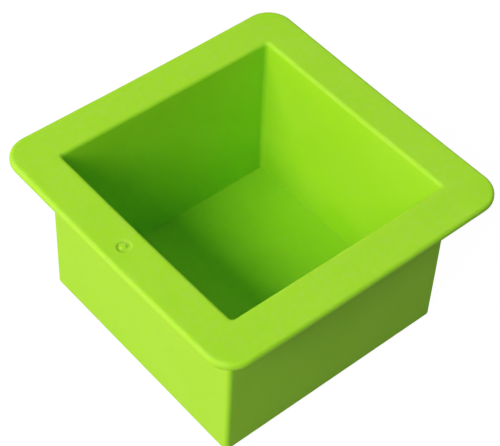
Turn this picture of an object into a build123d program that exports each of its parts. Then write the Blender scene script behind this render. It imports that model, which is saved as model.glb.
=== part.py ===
"""Square silicone soap mould, one cavity, poured and pressed out by hand.

Units are millimetres. +Z is up, and the origin is at the centre of the flat base.
The front, with the gate mark on its rim, faces -Y.

The real mould is one moulding. It is built whole first, then divided into its natural
regions: the floor panel, four walls mitred at the corners, and the rim. The regions
meet face to face, with no gap and no overlap, so together they are the moulding again.
"""

import os

from build123d import *

# Cavity
OPENING = 80.0           # clear width of the mouth, both ways
CAVITY_FLOOR = 77.6      # width of the cavity at its floor, so the walls draw slightly
CAVITY_CORNER = 1.2      # radius of the four upright corners inside
FLOOR_FILLET = 0.6       # radius where the walls run into the floor

# Outside
HEIGHT = 58.0            # base to the top of the rim
WALL = 2.4               # wall thickness at the mouth
FLOOR = 3.0              # floor thickness
BODY_CORNER = 1.4        # radius of the four upright corners outside
BASE_EDGE = 0.9          # radius around the base

# Rim
RIM_SIZE = 107.0         # width of the rim, both ways
RIM_THICK = 2.8
RIM_CORNER = 9.0         # radius of the rim's corners in plan
RIM_EDGE = 1.3           # radius of the rim's outer edge, nearly a half round
MOUTH_EDGE = 1.3         # radius around the mouth

# Gate mark, where the silicone entered the tool: a shallow cup with a stub in it
GATE_CUP = 4.8           # diameter of the cup
GATE_DEPTH = 0.5
GATE_STUB = 2.2          # diameter of the stub
GATE_STUB_OFFSET = 0.4   # the stub stands a little to the left of the cup's centre
GATE_STUB_BELOW = 0.1    # the stub's top below the rim's face

BODY = OPENING + 2 * WALL
RIM_UNDERSIDE = HEIGHT - RIM_THICK
RIM_MIDDLE = (OPENING + RIM_SIZE) / 4    # centre line of the rim's width
MITRE_INSET = 3.0        # how far in from the body's side the floor panel ends below
CUT = 2 * RIM_SIZE       # larger than the mould, for the dividing solids


def square_prism(width, corner, bottom, top):
    """An upright square block with rounded corners."""
    with BuildPart() as block:
        with BuildSketch(Plane.XY.offset(bottom)):
            RectangleRounded(width, width, corner)
        extrude(amount=top - bottom)
    return block.part


def body_block():
    """The outside of the walls and floor, with its base edge rounded."""
    block = square_prism(BODY, BODY_CORNER, 0, RIM_UNDERSIDE)
    base = block.edges().group_by(Axis.Z)[0]
    return fillet(base, BASE_EDGE)


def rim_plate():
    """The flange at the top, before the mouth is opened."""
    plate = square_prism(RIM_SIZE, RIM_CORNER, RIM_UNDERSIDE, HEIGHT)
    outer = plate.edges().group_by(Axis.Z)[0] + plate.edges().group_by(Axis.Z)[-1]
    return fillet(outer, RIM_EDGE)


def cavity():
    """The space that the soap fills, a little smaller at the floor."""
    with BuildPart() as space:
        with BuildSketch(Plane.XY.offset(FLOOR)):
            RectangleRounded(CAVITY_FLOOR, CAVITY_FLOOR, CAVITY_CORNER)
        with BuildSketch(Plane.XY.offset(HEIGHT)):
            RectangleRounded(OPENING, OPENING, CAVITY_CORNER)
        loft()
        fillet(space.edges().group_by(Axis.Z)[0], FLOOR_FILLET)
    return space.part


def gate_cut():
    """The ring-shaped hollow of the gate mark in the middle of the front rim."""
    centre = (0, -RIM_MIDDLE, HEIGHT)
    cup = Pos(*centre) * Cylinder(
        GATE_CUP / 2, GATE_DEPTH, align=(Align.CENTER, Align.CENTER, Align.MAX)
    )
    stub = Pos(-GATE_STUB_OFFSET, -RIM_MIDDLE, HEIGHT - GATE_STUB_BELOW) * Cylinder(
        GATE_STUB / 2, GATE_DEPTH, align=(Align.CENTER, Align.CENTER, Align.MAX)
    )
    return cup - stub


def moulding():
    """The whole mould as it comes out of the press."""
    whole = body_block() + rim_plate() - cavity()
    mouth = [
        edge
        for edge in whole.edges().group_by(Axis.Z)[-1]
        if edge.bounding_box().max.X < RIM_MIDDLE
        and edge.bounding_box().min.X > -RIM_MIDDLE
        and edge.bounding_box().max.Y < RIM_MIDDLE
        and edge.bounding_box().min.Y > -RIM_MIDDLE
    ]
    return fillet(mouth, MOUTH_EDGE) - gate_cut()


def floor_wedge():
    """The block that takes the floor panel: it narrows upwards, so the walls lap it."""
    below = BODY - 2 * MITRE_INSET
    above = CAVITY_FLOOR - 2 * FLOOR_FILLET
    with BuildPart() as wedge:
        with BuildSketch(Plane.XY):
            Rectangle(below, below)
        with BuildSketch(Plane.XY.offset(FLOOR)):
            Rectangle(above, above)
        loft()
    return wedge.part


def wall_wedge(turn):
    """The quarter of the plan that takes one wall, between two diagonals."""
    with BuildPart() as wedge:
        with BuildSketch(Plane.XY):
            Polygon((0, 0), (-CUT, -CUT), (CUT, -CUT), align=None)
        extrude(amount=RIM_UNDERSIDE)
    return Rot(0, 0, turn) * wedge.part


def regions():
    """Divide the moulding into named regions that meet face to face."""
    whole = moulding()
    rim_block = Pos(0, 0, RIM_UNDERSIDE) * Box(
        CUT, CUT, CUT, align=(Align.CENTER, Align.CENTER, Align.MIN)
    )
    parts = {"rim": whole & rim_block, "floor_panel": whole & floor_wedge()}
    lower = whole - rim_block - floor_wedge()
    for name, turn in (
        ("front_wall", 0),
        ("right_wall", 90),
        ("back_wall", 180),
        ("left_wall", 270),
    ):
        parts[name] = lower & wall_wedge(turn)
    return parts


os.makedirs("parts", exist_ok=True)
for name, shape in regions().items():
    solids = shape.solids()
    if len(solids) != 1:
        raise ValueError(f"{name} is {len(solids)} solids, not one")
    export_step(solids[0], f"parts/{name}.step")
    print(f"{name}: {solids[0].volume / 1000:.2f} cm3")
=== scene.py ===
"""Silicone soap mould: the visible skin of the moulding, and the studio it stands in.

Metres, +Z up, in the packed part's own frame. The base stands on z = 0 with its centre
at the origin, and the front, with the gate mark on its rim, faces -Y.
"""

import math

import bmesh
import bpy
from bpy.props import FloatProperty, FloatVectorProperty, IntProperty, PointerProperty
from mathutils import Matrix, Vector, noise


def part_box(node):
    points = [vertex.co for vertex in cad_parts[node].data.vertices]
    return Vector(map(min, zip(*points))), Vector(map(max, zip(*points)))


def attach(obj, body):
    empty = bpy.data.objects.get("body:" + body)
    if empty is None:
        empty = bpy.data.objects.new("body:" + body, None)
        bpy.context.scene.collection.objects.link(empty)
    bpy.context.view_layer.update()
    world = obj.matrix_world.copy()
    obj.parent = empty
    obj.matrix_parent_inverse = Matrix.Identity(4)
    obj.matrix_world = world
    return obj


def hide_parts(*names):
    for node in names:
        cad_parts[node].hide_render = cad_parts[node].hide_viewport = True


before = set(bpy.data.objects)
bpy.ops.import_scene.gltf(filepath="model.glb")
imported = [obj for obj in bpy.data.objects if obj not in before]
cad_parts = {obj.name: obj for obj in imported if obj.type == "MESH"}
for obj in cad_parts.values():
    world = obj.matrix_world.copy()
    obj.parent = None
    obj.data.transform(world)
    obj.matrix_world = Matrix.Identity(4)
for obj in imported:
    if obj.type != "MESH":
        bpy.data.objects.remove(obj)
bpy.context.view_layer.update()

bl_info = {
    "name": "Silicone Soap Mould",
    "version": (1, 0, 0),
    "blender": (4, 5, 0),
    "location": "View3D > Sidebar > Soap Mould",
    "description": "Builds a one-cavity silicone mould and a plain studio for it",
    "category": "Add Mesh",
}

# The packed regions that the one skin stands for
REGIONS = ("rim", "front_wall", "right_wall", "back_wall", "left_wall", "floor_panel")
RIM_LOW, RIM_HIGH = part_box("rim")
PANEL_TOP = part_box("floor_panel")[1].z
FRONT_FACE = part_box("front_wall")[0].y

MM = 0.001
SIDES = 4

# Finishes of the skin, in the order of its material slots
OUTSIDE, CAVITY, TORN = range(3)

# Divisions of the skin that don't change with its density
RIM_STRIP_STEPS = 2      # from the mouth or the rim's edge to the gate mark's patch
UNDERSIDE_STEPS = 4      # across the rim's underside
GATE_LIP_STEPS = 5       # round the cup's lip and the stub's crown
GATE_FOOT_STEPS = 4      # round the foot of the cup and of the stub

# Silicone
DEPTH_BY_COLOUR = (0.8, 1.0, 0.15)    # how far red, green and blue travel in it, by comparison
CLOUD_SIZE = 17 * MM
CLOUD_STRENGTH = 0.5
CLOUD_RANGE = (0.35, 0.65)            # noise over which pigment goes from full to pale
FLECK_SIZE = 0.5 * MM
FLECK_STRENGTH = 0.35
FLECK_RANGE = (0.60, 0.75)
SMEAR_SIZE = 9 * MM
GRAIN_IN_ROUGHNESS = 0.4              # grain's share beside the smears
SMEAR_IN_RELIEF = 0.5                 # smears' share beside the grain
EVEN_ROUGHNESS = 0.7                  # the mean of smears and grain, taken off
SPECK_SIZE = 0.12 * MM
SPECK_SPACING = 2.4 * MM
DUST_FILM = 0.12                      # strength of the patchy film beside the specks
DUST_FILM_RANGE = (0.45, 0.60)
DUST_ON_SIDES = 0.2                   # dust on faces that don't look up
LOOKS_UP = (0.0, 0.9)                 # the normal's height over which dust gathers

# Studio
WHITE = (1.0, 1.0, 1.0, 1.0)
FLOOR_RADIUS = 4.0
FLOOR_SEGMENTS = 96
LIGHT_DISTANCE = 1.3
SMALL_LIGHT = (0.6, 0.6)              # width and height of the fills and the back light
FILM_STEPS = 12
COMBINED_CURVE = 3                    # the curve for all three colours together


# --------------------------------------------------------------------------------------
# What a user can change


def length(name, description, default, **more):
    """A length property, shown in the scene's units."""
    return FloatProperty(
        name=name, description=description, default=default, unit="LENGTH", precision=5, **more
    )


def colour(name, description, default):
    """A colour property."""
    return FloatVectorProperty(
        name=name, description=description, default=default, subtype="COLOR", size=3, min=0.0, max=1.0
    )


class MouldSizes(bpy.types.PropertyGroup):
    """Sizes of the moulding."""

    rim_width: length("Rim width", "Width of the rim, both ways", RIM_HIGH.x - RIM_LOW.x)
    rim_thickness: length("Rim thickness", "Thickness of the flange", RIM_HIGH.z - RIM_LOW.z)
    rim_corner: length("Rim corner", "Radius of the rim's corners in plan", 9.0 * MM)
    rim_edge: length("Rim edge", "Radius of the rim's outer edge, on top", 1.4 * MM)
    rim_under_edge: length("Rim under edge", "Radius of the rim's outer edge, underneath", 1.0 * MM)
    height: length("Height", "Base to the top of the rim", RIM_HIGH.z)
    body_width: length("Body width", "Outside width of the walls", -2 * FRONT_FACE)
    body_corner: length("Body corner", "Radius of the upright corners outside", 1.6 * MM)
    base_edge: length("Base edge", "Radius around the base", 0.9 * MM)
    underside_fillet: length("Rim fillet", "Radius where the walls meet the rim", 0.8 * MM)
    mouth_width: length("Mouth width", "Clear width of the mouth, both ways", 80.0 * MM)
    mouth_edge: length("Mouth edge", "Radius around the mouth", 1.3 * MM)
    cavity_floor: length("Cavity floor", "Width of the cavity at its floor", 77.6 * MM)
    cavity_corner: length("Cavity corner", "Radius of the upright corners inside", 1.2 * MM)
    floor_fillet: length("Floor fillet", "Radius where the walls meet the floor", 0.25 * MM)
    floor_thickness: length("Floor thickness", "Thickness of the floor", PANEL_TOP)


class GateSizes(bpy.types.PropertyGroup):
    """Sizes of the gate mark: a shallow cup with a stub in it."""

    cup_radius: length("Cup radius", "Radius of the cup inside its lip", 1.9 * MM)
    cup_depth: length("Cup depth", "Depth of the cup", 0.5 * MM)
    cup_lip: length("Cup lip", "Reach of the cup's rounded lip", 0.7 * MM)
    cup_foot: length("Cup foot", "Radius where the cup and the stub meet its floor", 0.25 * MM)
    stub_radius: length("Stub radius", "Radius of the stub", 1.1 * MM)
    stub_offset: length("Stub offset", "How far the stub stands left of centre", 0.4 * MM)
    stub_below: length("Stub below", "Top of the stub below the rim's face", 0.1 * MM)
    stub_crown: length("Stub crown", "Radius around the stub's top", 0.35 * MM)
    patch: length("Patch", "Half width of the patch of rim that holds the mark", 4.5 * MM)


def stands(name, description, sides_mm):
    """How far each side stands outside its moulded place: left, right, front, back."""
    return FloatVectorProperty(
        name=name,
        description=description + ": left, right, front, back",
        size=4,
        default=[side * MM for side in sides_mm],
        unit="LENGTH",
        precision=5,
    )


class SoftSet(bpy.types.PropertyGroup):
    """How the soft rubber stands a little off its moulded shape."""

    floor: stands("Floor", "Cavity's floor", (-0.7, 0.9, -0.9, 1.0))
    mouth: stands("Mouth", "Edge of the mouth", (0.2, -0.8, 0.0, 0.8))
    rim: stands("Rim", "Outer edge of the rim", (-0.25, -0.1, 0.3, 0.95))
    shoulder: stands("Shoulder", "Outside of the walls under the rim", (0.3, -0.2, 0.3, 0.4))
    base: stands("Base", "Outside of the walls at the base", (-0.1, 0.25, 0.3, 0.1))
    corner_lift: length("Corner lift", "How far the rim's corners curl up", 0.65 * MM)
    ripple: length("Ripple", "Height of the slow ripple in walls and rim", 0.12 * MM)
    ripple_size: length("Ripple size", "Distance over which the ripple turns", 38.0 * MM)
    ripple_seed: IntProperty(name="Ripple seed", description="Which draw of the ripple", default=1, min=1)


class MeshDensity(bpy.types.PropertyGroup):
    """How finely the skin is divided."""

    corner: IntProperty(name="Corner", description="Segments round a corner", default=12, min=2)
    fillet: IntProperty(name="Fillet", description="Segments round a fillet", default=4, min=2)
    edge: IntProperty(name="Edge", description="Segments round each half of the rim's edge", default=6)
    patch: IntProperty(name="Patch", description="Segments across the gate mark's patch", default=12)
    run: IntProperty(name="Run", description="Segments from the patch to a corner", default=9)
    wall: IntProperty(name="Wall", description="Segments up a wall", default=12)


class SiliconeLook(bpy.types.PropertyGroup):
    """Colour and surface of the silicone."""

    # The outside colour is paler and bluer than the cavity's: painted sheen for white reflection on the
    # outer faces. The cavity colour's deeper green is painted bounce light from inside the cavity.
    outside: colour("Outside colour", "Colour of the satin outside", (0.312, 0.630, 0.026))
    cavity: colour("Cavity colour", "Colour of the polished cavity", (0.300, 0.630, 0.017))
    pale: colour("Pale colour", "Colour where the pigment is stirred in less", (0.330, 0.650, 0.035))
    dust: colour("Dust colour", "Colour of lint and dust", (0.55, 0.68, 0.35))
    depth: FloatProperty(
        name="Depth", description="Share of light that enters the rubber", default=0.8, subtype="FACTOR"
    )
    depth_reach: length("Depth reach", "How far light travels in the rubber", 1.8 * MM)
    gloss: FloatProperty(
        name="Gloss", description="Strength of the surface's own reflection", default=0.28, subtype="FACTOR"
    )


class StudioSettings(bpy.types.PropertyGroup):
    """Floor, lights and camera."""

    floor_tone: FloatProperty(name="Floor tone", description="How pale the floor's paper is", default=0.08)
    floor_glow: FloatProperty(
        name="Floor glow", description="Light from below through the floor's paper", default=0.96
    )
    floor_bounce: FloatProperty(
        name="Floor bounce", description="Share of light that the floor throws back", default=0.2
    )
    floor_mirror: FloatProperty(
        name="Floor mirror", description="Share of the floor's glow that shines in the rubber", default=0.4
    )
    sky: FloatProperty(name="Sky", description="Strength of the even light", default=0.19)
    key: FloatProperty(name="Key", description="Power of the key light", default=18.4, unit="POWER")
    key_size: FloatVectorProperty(
        name="Key size", description="Width and height of the key light", size=2, default=(1.1, 0.6),
        subtype="XYZ_LENGTH",
    )
    back_light: FloatProperty(
        name="Back light", description="Power of the light from behind", default=2.6, unit="POWER"
    )
    right_fill: FloatProperty(
        name="Right fill", description="Power of the low light on the right", default=0.8, unit="POWER"
    )
    left_fill: FloatProperty(
        name="Left fill", description="Power of the low light on the left", default=3.2, unit="POWER"
    )
    contrast: FloatProperty(
        name="Contrast", description="How much the film deepens the darks", default=1.29
    )
    shoulder: FloatProperty(
        name="Shoulder", description="How softly the film rolls off the brights, less being softer",
        default=0.83,
    )
    veil: FloatProperty(
        name="Veil", description="Stray light that the lens lays over the darks", default=0.0025
    )
    azimuth: FloatProperty(
        name="Azimuth",
        description="Camera's turn from the front towards the right side",
        default=math.radians(47.09),
        subtype="ANGLE",
    )
    elevation: FloatProperty(
        name="Elevation",
        description="Camera's height above the horizon",
        default=math.radians(48.28),
        subtype="ANGLE",
    )
    roll: FloatProperty(
        name="Roll",
        description="Camera's tilt about its line of sight",
        default=math.radians(3.55),
        subtype="ANGLE",
    )
    distance: length("Distance", "Camera to the aim point", 0.5334)
    aim: FloatVectorProperty(
        name="Aim",
        description="Aim point from the origin, along the camera's right and up",
        size=2,
        default=(2.23 * MM, 23.48 * MM),
        subtype="XYZ_LENGTH",
    )
    lens: FloatProperty(name="Lens", description="Focal length", default=119.14, unit="CAMERA")


# --------------------------------------------------------------------------------------
# Mesh


def arc(centre, radius, start, end, segments):
    """Points (out, up) on an arc from start to end degrees, without its first point."""
    points = []
    for i in range(1, segments + 1):
        a = math.radians(start + (end - start) * i / segments)
        points.append((centre[0] + radius * math.cos(a), centre[1] + radius * math.sin(a)))
    return points


def line(start, end, segments):
    """Points (out, up) on a straight line, without its first point."""
    return [
        (start[0] + (end[0] - start[0]) * i / segments, start[1] + (end[1] - start[1]) * i / segments)
        for i in range(1, segments + 1)
    ]


def deck_stand(sizes, soft, half):
    """How far the rim's face stands off at a given half width."""
    mouth, outer = sizes.mouth_width / 2, sizes.rim_width / 2
    return Vector(soft.mouth).lerp(Vector(soft.rim), (half - mouth) / (outer - mouth))


def section(sizes, gate, soft, density):
    """The wall's section as stations (half width, height, corner radius, stand).

    It starts on the cavity's floor, goes up the inside, over the rim and down the
    outside to the base. Also gives the number of stations inside the cavity, and the
    two stations that bound the gate mark's patch.
    """
    mouth, outer, body = sizes.mouth_width / 2, sizes.rim_width / 2, sizes.body_width / 2
    deck, under = sizes.height, sizes.height - sizes.rim_thickness
    foot, floor = sizes.cavity_floor / 2, sizes.floor_thickness
    drawn = (mouth - foot) / (deck - floor)
    middle = (mouth + outer) / 2
    stations = []

    def add(points, corner, stand):
        stations.extend((x, z, corner(x), stand(x, z)) for x, z in points)

    def stand_inside(x, z):
        return Vector(soft.floor).lerp(Vector(soft.mouth), (z - floor) / (deck - floor))

    def stand_deck(x, z):
        return deck_stand(sizes, soft, x)

    def stand_edge(x, z):
        return Vector(soft.rim)

    def stand_under(x, z):
        return Vector(soft.shoulder).lerp(Vector(soft.rim), (x - body) / (outer - body))

    def stand_outside(x, z):
        return Vector(soft.base).lerp(Vector(soft.shoulder), z / under)

    # Inside: floor fillet, wall, mouth edge
    fillet = sizes.floor_fillet
    toe = (foot - fillet, floor)
    wall_start = (foot + drawn * fillet, floor + fillet)
    inside = [toe] + arc((foot - fillet, floor + fillet), fillet, -90, 0, density.fillet)
    add(inside, lambda x: sizes.cavity_corner + min(0.0, x - foot), stand_inside)
    lip = (mouth - drawn * sizes.mouth_edge, deck - sizes.mouth_edge)
    add(line(wall_start, lip, density.wall), lambda x: sizes.cavity_corner, stand_inside)
    inside_count = len(stations)
    mouth_arc = arc((mouth + sizes.mouth_edge, deck - sizes.mouth_edge), sizes.mouth_edge, 180, 90,
                    2 * density.fillet)
    add(mouth_arc, lambda x: sizes.cavity_corner + x - mouth, stand_deck)

    # Rim: top with the patch's rows in it, rounded edge, underside
    near, far = mouth + sizes.mouth_edge, outer - sizes.rim_edge
    far_under = outer - sizes.rim_under_edge
    near_corner = sizes.cavity_corner + sizes.mouth_edge
    far_corner = sizes.rim_corner - sizes.rim_edge

    def across(x):
        return near_corner + (far_corner - near_corner) * (x - near) / (far - near)

    add(line((near, deck), (middle - gate.patch, deck), RIM_STRIP_STEPS), across, stand_deck)
    patch_first = len(stations) - 1
    add(line((middle - gate.patch, deck), (middle + gate.patch, deck), density.patch), across, stand_deck)
    patch_last = len(stations) - 1
    add(line((middle + gate.patch, deck), (far, deck), RIM_STRIP_STEPS), across, stand_deck)
    add(arc((far, deck - sizes.rim_edge), sizes.rim_edge, 90, 0, density.edge),
        lambda x: sizes.rim_corner - (outer - x), stand_edge)
    add([(outer, under + sizes.rim_under_edge)], lambda x: sizes.rim_corner, stand_edge)
    add(arc((far_under, under + sizes.rim_under_edge), sizes.rim_under_edge, 0, -90, density.edge),
        lambda x: sizes.rim_corner - (outer - x), stand_edge)
    inner_under = body + sizes.underside_fillet
    inner_corner = sizes.body_corner + sizes.underside_fillet
    under_corner = sizes.rim_corner - sizes.rim_under_edge

    def across_under(x):
        return inner_corner + (under_corner - inner_corner) * (x - inner_under) / (far_under - inner_under)

    add(line((far_under, under), (inner_under, under), UNDERSIDE_STEPS), across_under, stand_under)

    # Outside: fillet under the rim, wall, base edge
    add(arc((inner_under, under - sizes.underside_fillet), sizes.underside_fillet, 90, 180, density.fillet),
        lambda x: sizes.body_corner + x - body, stand_outside)
    add(line((body, under - sizes.underside_fillet), (body, sizes.base_edge), density.wall),
        lambda x: sizes.body_corner, stand_outside)
    add(arc((body - sizes.base_edge, sizes.base_edge), sizes.base_edge, 0, -90, density.fillet),
        lambda x: sizes.body_corner - (body - x), stand_outside)
    return stations, inside_count, patch_first, patch_last


def stand_off(point, half, stand):
    """A point of the moulded shape, moved with its sides."""
    left, right, front, back = stand
    across, along = (point.x / half + 1) / 2, (point.y / half + 1) / 2
    point.x += right * across - left * (1 - across)
    point.y += back * along - front * (1 - along)
    return point


def ring(half, height, corner, gate, density):
    """One closed loop round the mould: a rounded square that starts at its front left corner."""
    straight = half - corner
    turn = density.corner // 2
    side = [
        (-straight + corner * math.cos(a), -straight + corner * math.sin(a))
        for a in (math.radians(225 + 45 * i / turn) for i in range(turn))
    ]
    xs = [-straight]
    xs += [x for x, _ in line((-straight, 0), (-gate.patch, 0), density.run)]
    xs += [x for x, _ in line((-gate.patch, 0), (gate.patch, 0), density.patch)]
    xs += [x for x, _ in line((gate.patch, 0), (straight, 0), density.run)]
    side += [(x, -half) for x in xs]
    side += [
        (straight + corner * math.cos(a), -straight + corner * math.sin(a))
        for a in (math.radians(270 + 45 * i / turn) for i in range(1, turn))
    ]
    points = []
    for k in range(SIDES):
        turned = Matrix.Rotation(k * math.pi / 2, 2)
        points += [Vector((*(turned @ Vector(p)), height)) for p in side]
    return points


def bridge(bm, below, above, finish, skip=lambda i: False):
    """Quads between two closed loops of the same length."""
    n = len(below)
    for i in range(n):
        if not skip(i):
            j = (i + 1) % n
            bm.faces.new((below[i], below[j], above[j], above[i])).material_index = finish


def fill(bm, loop, finish):
    """A grid of quads inside a four-cornered loop whose corners are evenly spaced along it."""
    n = len(loop) // SIDES
    low, right = loop[: n + 1], loop[n : 2 * n + 1]
    high = loop[2 * n : 3 * n + 1][::-1]
    left = (loop[3 * n :] + loop[:1])[::-1]
    rows = [low]
    for j in range(1, n):
        row = [left[j]]
        for i in range(1, n):
            u, v = i / n, j / n
            across = left[j].co * (1 - u) + right[j].co * u
            along = low[i].co * (1 - v) + high[i].co * v
            corners = (low[0].co * (1 - u) + low[n].co * u) * (1 - v)
            corners += (high[0].co * (1 - u) + high[n].co * u) * v
            row.append(bm.verts.new(across + along - corners))
        rows.append(row + [right[j]])
    rows.append(high)
    for lower, upper in zip(rows, rows[1:]):
        for i in range(n):
            bm.faces.new((lower[i], lower[i + 1], upper[i + 1], upper[i])).material_index = finish


def gate_mark(bm, border, sizes, gate, soft):
    """The cup and its stub, joined to the square border of the rim's patch."""
    middle, deck = (sizes.mouth_width + sizes.rim_width) / 4, sizes.height
    centre, stub = Vector((0.0, -middle)), Vector((-gate.stub_offset, -middle))
    step = gate.patch / (len(border) // SIDES / 2)
    angles = []
    for i in range(len(border)):
        side, along = divmod(i, len(border) // SIDES)
        spoke = Matrix.Rotation(side * math.pi / 2, 2) @ Vector((along * step - gate.patch, -gate.patch))
        angles.append(math.atan2(spoke.y, spoke.x))
    lip, foot, crown = gate.cup_lip, gate.cup_foot, gate.stub_crown
    floor, top = deck - gate.cup_depth, deck - gate.stub_below
    cup = [(gate.cup_radius + lip, deck)]
    cup += arc((gate.cup_radius + lip, deck - lip), lip, 90, 180, GATE_LIP_STEPS)
    cup += arc((gate.cup_radius - foot, floor + foot), foot, 0, -90, GATE_FOOT_STEPS)
    post = [(gate.stub_radius + foot, floor)]
    post += arc((gate.stub_radius + foot, floor + foot), foot, -90, -180, GATE_FOOT_STEPS)
    post += arc((gate.stub_radius - crown, top - crown), crown, 0, 90, GATE_LIP_STEPS)
    profile = [(centre, radius, height, OUTSIDE) for radius, height in cup]
    profile += [(stub, radius, height, TORN) for radius, height in post]
    previous = border
    for hub, radius, height, finish in profile:
        loop = []
        for a in angles:
            point = Vector((hub.x + radius * math.cos(a), hub.y + radius * math.sin(a), height))
            loop.append(bm.verts.new(stand_off(point, -point.y, deck_stand(sizes, soft, -point.y))))
        bridge(bm, previous, loop, finish)
        previous = loop
    fill(bm, previous, TORN)


def settle(co, sizes, soft):
    """Where a point of the rubber comes to rest, with its rim curled and its walls rippled."""
    level = max(0.0, min(1.0, co.z / sizes.height))
    half = sizes.rim_width / 2
    lift = soft.corner_lift * (co.x / half) ** 2 * (co.y / half) ** 2 * level**3
    wave = noise.noise_vector(co / soft.ripple_size) * soft.ripple * min(1.0, 4 * level)
    return Vector((co.x + wave.x, co.y + wave.y, co.z + lift + wave.z * level**2))


def moulding_mesh(sizes, gate, soft, density):
    """The whole skin as one closed mesh."""
    bm = bmesh.new()
    stations, inside_count, patch_first, patch_last = section(sizes, gate, soft, density)
    loops = [
        [bm.verts.new(stand_off(p, half, stand)) for p in ring(half, height, corner, gate, density)]
        for half, height, corner, stand in stations
    ]
    start = density.corner // 2 + density.run
    columns = range(start, start + density.patch)
    for k, (below, above) in enumerate(zip(loops, loops[1:])):
        open_here = patch_first <= k < patch_last
        finish = CAVITY if k < inside_count else OUTSIDE
        bridge(bm, below, above, finish, lambda i: open_here and i in columns)
    fill(bm, loops[0], CAVITY)
    fill(bm, loops[-1], OUTSIDE)

    # The patch's border, anticlockwise from its outer left corner
    rows = loops[patch_first : patch_last + 1][::-1]
    end = start + density.patch
    border = [rows[0][i] for i in range(start, end)]
    border += [row[end] for row in rows[:-1]]
    border += [rows[-1][i] for i in range(end, start, -1)]
    border += [row[start] for row in rows[:0:-1]]
    gate_mark(bm, border, sizes, gate, soft)

    bmesh.ops.delete(bm, geom=[v for v in bm.verts if not v.link_faces], context="VERTS")
    bmesh.ops.recalc_face_normals(bm, faces=bm.faces)
    # Without a seed the noise is drawn from the clock, and each run gives another ripple
    noise.seed_set(soft.ripple_seed)
    for vert in bm.verts:
        vert.co = settle(vert.co, sizes, soft)
    open_edges = [e for e in bm.edges if len(e.link_faces) != 2]
    if open_edges:
        raise RuntimeError(f"the skin isn't closed: {len(open_edges)} open edges")
    for face in bm.faces:
        face.smooth = True
    mesh = bpy.data.meshes.new("mould_skin")
    bm.to_mesh(mesh)
    bm.free()
    return mesh


# --------------------------------------------------------------------------------------
# Silicone


def empty_group(name, inputs, outputs):
    """A shader node group with named sockets: its tree, input node and output node."""
    tree = bpy.data.node_groups.new(name, "ShaderNodeTree")
    for label, kind, default in inputs:
        tree.interface.new_socket(label, in_out="INPUT", socket_type=kind).default_value = default
    for label, kind in outputs:
        tree.interface.new_socket(label, in_out="OUTPUT", socket_type=kind)
    return tree, tree.nodes.new("NodeGroupInput"), tree.nodes.new("NodeGroupOutput")


def maths(tree, operation, first, second, third=None):
    """A Math node; an input is a socket or a number."""
    node = tree.nodes.new("ShaderNodeMath")
    node.operation = operation
    for slot, value in enumerate((first, second, third)):
        if isinstance(value, bpy.types.NodeSocket):
            tree.links.new(value, node.inputs[slot])
        elif value is not None:
            node.inputs[slot].default_value = value
    return node.outputs["Value"]


def noise_field(tree, place, size, detail):
    """Noise from 0 to 1 whose lumps are size across, in metres."""
    node = tree.nodes.new("ShaderNodeTexNoise")
    node.inputs["Detail"].default_value = detail
    tree.links.new(place, node.inputs["Vector"])
    tree.links.new(maths(tree, "DIVIDE", 1.0, size), node.inputs["Scale"])
    return node.outputs["Fac"]


def spread(tree, value, limits):
    """The part of a value between two limits, stretched to 0 to 1."""
    node = tree.nodes.new("ShaderNodeMapRange")
    node.interpolation_type = "SMOOTHSTEP"
    node.inputs["From Min"].default_value, node.inputs["From Max"].default_value = limits
    tree.links.new(value, node.inputs["Value"])
    return node.outputs["Result"]


def blend_colours(tree, amount, first, second):
    """A Mix node between two colours; each is a socket or a colour."""
    node = tree.nodes.new("ShaderNodeMix")
    node.data_type = "RGBA"
    tree.links.new(amount, node.inputs[0])
    for slot, value in ((6, first), (7, second)):
        if isinstance(value, bpy.types.NodeSocket):
            tree.links.new(value, node.inputs[slot])
        else:
            node.inputs[slot].default_value = value
    return node.outputs[2]


def object_place(tree):
    """Place on the object, in metres."""
    return tree.nodes.new("ShaderNodeTexCoord").outputs["Object"]


def pigment_cloud():
    """Group: pigment stirred unevenly into the rubber, with fine undissolved flecks."""
    colour, number = "NodeSocketColor", "NodeSocketFloat"
    tree, given, made = empty_group(
        "pigment_cloud",
        [
            ("Colour", colour, (0.3, 0.7, 0.02, 1.0)),
            ("Pale Colour", colour, (0.4, 0.7, 0.03, 1.0)),
            ("Cloud Size", number, 20 * MM),
            ("Cloud Strength", number, 0.5),
            ("Fleck Size", number, 0.5 * MM),
            ("Fleck Strength", number, 0.3),
        ],
        [("Colour", colour)],
    )
    place = object_place(tree)
    cloud = spread(tree, noise_field(tree, place, given.outputs["Cloud Size"], 3.0), CLOUD_RANGE)
    cloud = maths(tree, "MULTIPLY", cloud, given.outputs["Cloud Strength"])
    fleck = spread(tree, noise_field(tree, place, given.outputs["Fleck Size"], 1.0), FLECK_RANGE)
    fleck = maths(tree, "MULTIPLY", fleck, given.outputs["Fleck Strength"])
    both = maths(tree, "MAXIMUM", cloud, fleck)
    result = blend_colours(tree, both, given.outputs["Colour"], given.outputs["Pale Colour"])
    tree.links.new(result, made.inputs["Colour"])
    return tree


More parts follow.
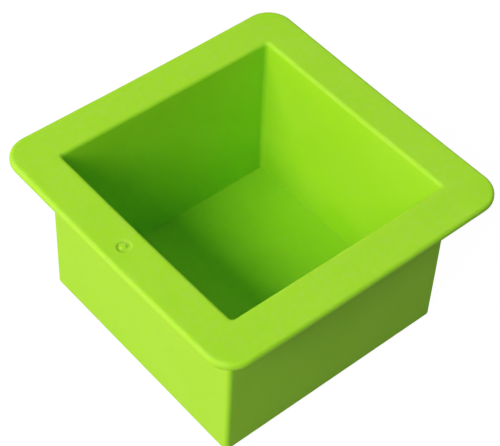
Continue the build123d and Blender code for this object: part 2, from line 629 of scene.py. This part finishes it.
def satin_grain():
    """Group: the fine grain that the tool leaves, and the smears that handling adds."""
    number = "NodeSocketFloat"
    tree, given, made = empty_group(
        "satin_grain",
        [
            ("Roughness", number, 0.5),
            ("Roughness Spread", number, 0.1),
            ("Grain Size", number, 0.3 * MM),
            ("Smear Size", number, 9 * MM),
        ],
        [("Roughness", number), ("Height", number)],
    )
    place = object_place(tree)
    grain = noise_field(tree, place, given.outputs["Grain Size"], 2.0)
    smear = noise_field(tree, place, given.outputs["Smear Size"], 4.0)
    both = maths(tree, "MULTIPLY_ADD", grain, GRAIN_IN_ROUGHNESS, smear)
    uneven = maths(tree, "SUBTRACT", both, EVEN_ROUGHNESS)
    spread_out, middle = given.outputs["Roughness Spread"], given.outputs["Roughness"]
    rough = maths(tree, "MULTIPLY_ADD", uneven, spread_out, middle)
    tree.links.new(rough, made.inputs["Roughness"])
    height = maths(tree, "MULTIPLY_ADD", smear, SMEAR_IN_RELIEF, grain)
    tree.links.new(height, made.inputs["Height"])
    return tree


def lint():
    """Group: pale specks of lint and dust, most of them on faces that look up."""
    number = "NodeSocketFloat"
    tree, given, made = empty_group(
        "lint",
        [("Amount", number, 0.3), ("Speck Size", number, 0.15 * MM), ("Spacing", number, 2.0 * MM)],
        [("Mask", number)],
    )
    place = object_place(tree)
    cells = tree.nodes.new("ShaderNodeTexVoronoi")
    tree.links.new(place, cells.inputs["Vector"])
    tree.links.new(maths(tree, "DIVIDE", 1.0, given.outputs["Spacing"]), cells.inputs["Scale"])
    reach = maths(tree, "MULTIPLY", cells.outputs["Distance"], given.outputs["Spacing"])
    speck = maths(tree, "LESS_THAN", reach, given.outputs["Speck Size"])
    normal = tree.nodes.new("ShaderNodeSeparateXYZ")
    tree.links.new(tree.nodes.new("ShaderNodeNewGeometry").outputs["Normal"], normal.inputs["Vector"])
    looks_up = spread(tree, normal.outputs["Z"], LOOKS_UP)
    upward = maths(tree, "MULTIPLY_ADD", looks_up, 1 - DUST_ON_SIDES, DUST_ON_SIDES)
    patchy = spread(tree, noise_field(tree, place, given.outputs["Spacing"], 2.0), DUST_FILM_RANGE)
    film = maths(tree, "MULTIPLY", patchy, DUST_FILM)
    both = maths(tree, "MULTIPLY", maths(tree, "MAXIMUM", speck, film), upward)
    tree.links.new(maths(tree, "MULTIPLY", both, given.outputs["Amount"]), made.inputs["Mask"])
    return tree


def place_group(tree, group, **values):
    """A group node in a material, with its inputs set; underscores stand for spaces."""
    node = tree.nodes.new("ShaderNodeGroup")
    node.node_tree = group
    for label, value in values.items():
        node.inputs[label.replace("_", " ")].default_value = value
    return node


def silicone(name, look, pigment_and_painted_light_colour, groups, *, roughness, uneven, grain, relief, dust):
    """Lime-green silicone rubber with one of its finishes."""
    material = bpy.data.materials.new(name)
    material.use_nodes = True
    tree = material.node_tree
    shader = tree.nodes["Principled BSDF"]
    shader.inputs["Subsurface Weight"].default_value = look.depth
    shader.inputs["Subsurface Radius"].default_value = DEPTH_BY_COLOUR
    shader.inputs["Subsurface Scale"].default_value = look.depth_reach
    shader.inputs["Specular IOR Level"].default_value = look.gloss

    # The base colour holds painted light: painted sheen on the outside, painted bounce light in the cavity.
    pigment = place_group(
        tree, groups["pigment"], Colour=(*pigment_and_painted_light_colour, 1.0), Pale_Colour=(*look.pale, 1.0),
        Cloud_Size=CLOUD_SIZE, Cloud_Strength=CLOUD_STRENGTH, Fleck_Size=FLECK_SIZE,
        Fleck_Strength=FLECK_STRENGTH,
    )
    specks = place_group(
        tree, groups["lint"], Amount=dust, Speck_Size=SPECK_SIZE, Spacing=SPECK_SPACING
    )
    shown = blend_colours(tree, specks.outputs["Mask"], pigment.outputs["Colour"], (*look.dust, 1.0))
    tree.links.new(shown, shader.inputs["Base Color"])

    surface = place_group(
        tree, groups["grain"], Roughness=roughness, Roughness_Spread=uneven,
        Grain_Size=grain, Smear_Size=SMEAR_SIZE,
    )
    tree.links.new(surface.outputs["Roughness"], shader.inputs["Roughness"])
    bump = tree.nodes.new("ShaderNodeBump")
    bump.inputs["Distance"].default_value = relief
    tree.links.new(surface.outputs["Height"], bump.inputs["Height"])
    tree.links.new(bump.outputs["Normal"], shader.inputs["Normal"])
    return material


def silicone_finishes(look):
    """The skin's three finishes, in the order OUTSIDE, CAVITY, TORN; the outside and torn colours hold
    painted sheen, the cavity's colour painted bounce light.
    """
    groups = {"pigment": pigment_cloud(), "grain": satin_grain(), "lint": lint()}
    return (
        silicone(
            "satin_silicone", look, look.outside, groups,
            roughness=0.62, uneven=0.16, grain=0.30 * MM, relief=0.012 * MM, dust=0.35,
        ),
        silicone(
            "polished_silicone", look, look.cavity, groups,
            roughness=0.58, uneven=0.12, grain=0.22 * MM, relief=0.006 * MM, dust=0.25,
        ),
        silicone(
            "torn_silicone", look, look.outside, groups,
            roughness=0.68, uneven=0.20, grain=0.45 * MM, relief=0.09 * MM, dust=0.1,
        ),
    )


# --------------------------------------------------------------------------------------
# Operators


class MOULD_OT_moulding(bpy.types.Operator):
    """Build the mould's skin, one seamless piece of silicone"""

    bl_idname = "mould.moulding"
    bl_label = "Moulding"

    def execute(self, context):
        scene = context.scene
        mesh = moulding_mesh(scene.mould_sizes, scene.mould_gate, scene.mould_soft, scene.mould_density)
        skin = bpy.data.objects.new("mould_skin", mesh)
        scene.collection.objects.link(skin)
        for finish in silicone_finishes(scene.mould_silicone):
            mesh.materials.append(finish)
        skin.modifiers.new("flat faces stay flat", "WEIGHTED_NORMAL")
        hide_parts(*REGIONS)
        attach(skin, "root")
        return {"FINISHED"}


def soft_box(name, azimuth, elevation, size, power, aim):
    """An area light of a given width and height that shines at aim; its place is in degrees."""
    data = bpy.data.lights.new(name, "AREA")
    data.shape = "RECTANGLE"
    data.size, data.size_y = size
    data.energy = power
    light = bpy.data.objects.new(name, data)
    a, e = math.radians(azimuth), math.radians(elevation)
    back = Vector((math.sin(a) * math.cos(e), -math.cos(a) * math.cos(e), math.sin(e)))
    light.location = aim + back * LIGHT_DISTANCE
    light.rotation_euler = back.to_track_quat("Z", "Y").to_euler()
    bpy.context.scene.collection.objects.link(light)


def backlit_paper(studio):
    """White paper lit from below: it looks white, and throws little light back up."""
    material = bpy.data.materials.new("backlit_paper")
    material.use_nodes = True
    nodes, links = material.node_tree.nodes, material.node_tree.links
    seen = nodes["Principled BSDF"]
    seen.inputs["Base Color"].default_value = (studio.floor_tone,) * 3 + (1.0,)
    seen.inputs["Emission Color"].default_value = WHITE
    seen.inputs["Emission Strength"].default_value = studio.floor_glow
    seen.inputs["Specular IOR Level"].default_value = 0.0
    bounce = nodes.new("ShaderNodeBsdfDiffuse")
    bounce.inputs["Color"].default_value = (studio.floor_bounce,) * 3 + (1.0,)
    path = nodes.new("ShaderNodeLightPath")
    mirrored = maths(material.node_tree, "MULTIPLY", path.outputs["Is Glossy Ray"], studio.floor_mirror)
    shown = maths(material.node_tree, "MAXIMUM", path.outputs["Is Camera Ray"], mirrored)
    mix = nodes.new("ShaderNodeMixShader")
    links.new(shown, mix.inputs["Fac"])
    links.new(bounce.outputs["BSDF"], mix.inputs[1])
    links.new(seen.outputs["BSDF"], mix.inputs[2])
    links.new(mix.outputs["Shader"], nodes["Material Output"].inputs["Surface"])
    material.cycles.emission_sampling = "NONE"
    return material


def film_curve(view, studio):
    """A gentle S-shaped response for the whole picture, as film gives."""
    view.view_transform = "Standard"
    view.use_curve_mapping = True
    points = view.curve_mapping.curves[COMBINED_CURVE].points
    points[0].location = (0.0, studio.veil)
    for i in range(1, FILM_STEPS):
        x = (i / FILM_STEPS) ** 2
        bent = x**studio.contrast
        shown = (1 + studio.shoulder) * bent / (bent + studio.shoulder)
        points.new(x, studio.veil + (1 - studio.veil) * shown)
    view.curve_mapping.update()


class MOULD_OT_stage(bpy.types.Operator):
    """Build the studio: a pale floor, soft lights and the camera"""

    bl_idname = "mould.stage"
    bl_label = "Stage"

    def execute(self, context):
        scene, studio = context.scene, context.scene.mould_studio
        film_curve(scene.view_settings, studio)
        bm = bmesh.new()
        bmesh.ops.create_circle(bm, cap_ends=True, segments=FLOOR_SEGMENTS, radius=FLOOR_RADIUS)
        mesh = bpy.data.meshes.new("studio_floor")
        bm.to_mesh(mesh)
        bm.free()
        floor = bpy.data.objects.new("studio_floor", mesh)
        scene.collection.objects.link(floor)
        mesh.materials.append(backlit_paper(studio))

        world = bpy.data.worlds.new("studio_sky")
        world.use_nodes = True
        background = world.node_tree.nodes["Background"]
        background.inputs["Color"].default_value = WHITE
        background.inputs["Strength"].default_value = studio.sky
        scene.world = world

        aim = Vector((0.0, 0.0, scene.mould_sizes.height / 2))
        soft_box("key", 3, 39, studio.key_size, studio.key, aim)
        soft_box("right_fill", 45, 12, SMALL_LIGHT, studio.right_fill, aim)
        soft_box("left_fill", -45, 12, SMALL_LIGHT, studio.left_fill, aim)
        soft_box("back_light", 180, 40, SMALL_LIGHT, studio.back_light, aim)

        a, e, r = studio.azimuth, studio.elevation, studio.roll
        back = Vector((math.sin(a) * math.cos(e), -math.cos(a) * math.cos(e), math.sin(e)))
        level = Vector((math.cos(a), math.sin(a), 0.0))
        upright = back.cross(level)
        right = level * math.cos(r) + upright * math.sin(r)
        up = upright * math.cos(r) - level * math.sin(r)
        data = bpy.data.cameras.new("camera")
        data.lens = studio.lens
        camera = bpy.data.objects.new("camera", data)
        place = Matrix((right, up, back)).transposed().to_4x4()
        place.translation = right * studio.aim[0] + up * studio.aim[1] + back * studio.distance
        camera.matrix_world = place
        scene.collection.objects.link(camera)
        scene.camera = camera
        return {"FINISHED"}


class MOULD_PT_panel(bpy.types.Panel):
    """Sizes, look and studio of the mould"""

    bl_idname = "MOULD_PT_panel"
    bl_label = "Soap Mould"
    bl_space_type = "VIEW_3D"
    bl_region_type = "UI"
    bl_category = "Soap Mould"

    def draw(self, context):
        for operator in OPERATORS:
            self.layout.operator(operator.bl_idname)
        for name, kind in SETTINGS.items():
            box = self.layout.box()
            box.label(text=kind.__doc__)
            for field in kind.__annotations__:
                box.prop(getattr(context.scene, name), field)


OPERATORS = (MOULD_OT_moulding, MOULD_OT_stage)
SETTINGS = {
    "mould_sizes": MouldSizes,
    "mould_gate": GateSizes,
    "mould_soft": SoftSet,
    "mould_density": MeshDensity,
    "mould_silicone": SiliconeLook,
    "mould_studio": StudioSettings,
}
CLASSES = (*SETTINGS.values(), *OPERATORS, MOULD_PT_panel)


def register():
    """Make the classes and their settings known to Blender."""
    for kind in CLASSES:
        bpy.utils.register_class(kind)
    for name, kind in SETTINGS.items():
        setattr(bpy.types.Scene, name, PointerProperty(type=kind))


def unregister():
    """Take the classes and their settings away again."""
    for name in SETTINGS:
        delattr(bpy.types.Scene, name)
    for kind in reversed(CLASSES):
        bpy.utils.unregister_class(kind)


def main():
    """Build the mould and its studio."""
    register()
    bpy.ops.mould.moulding()
    bpy.ops.mould.stage()


if __name__ == "__main__":
    main()
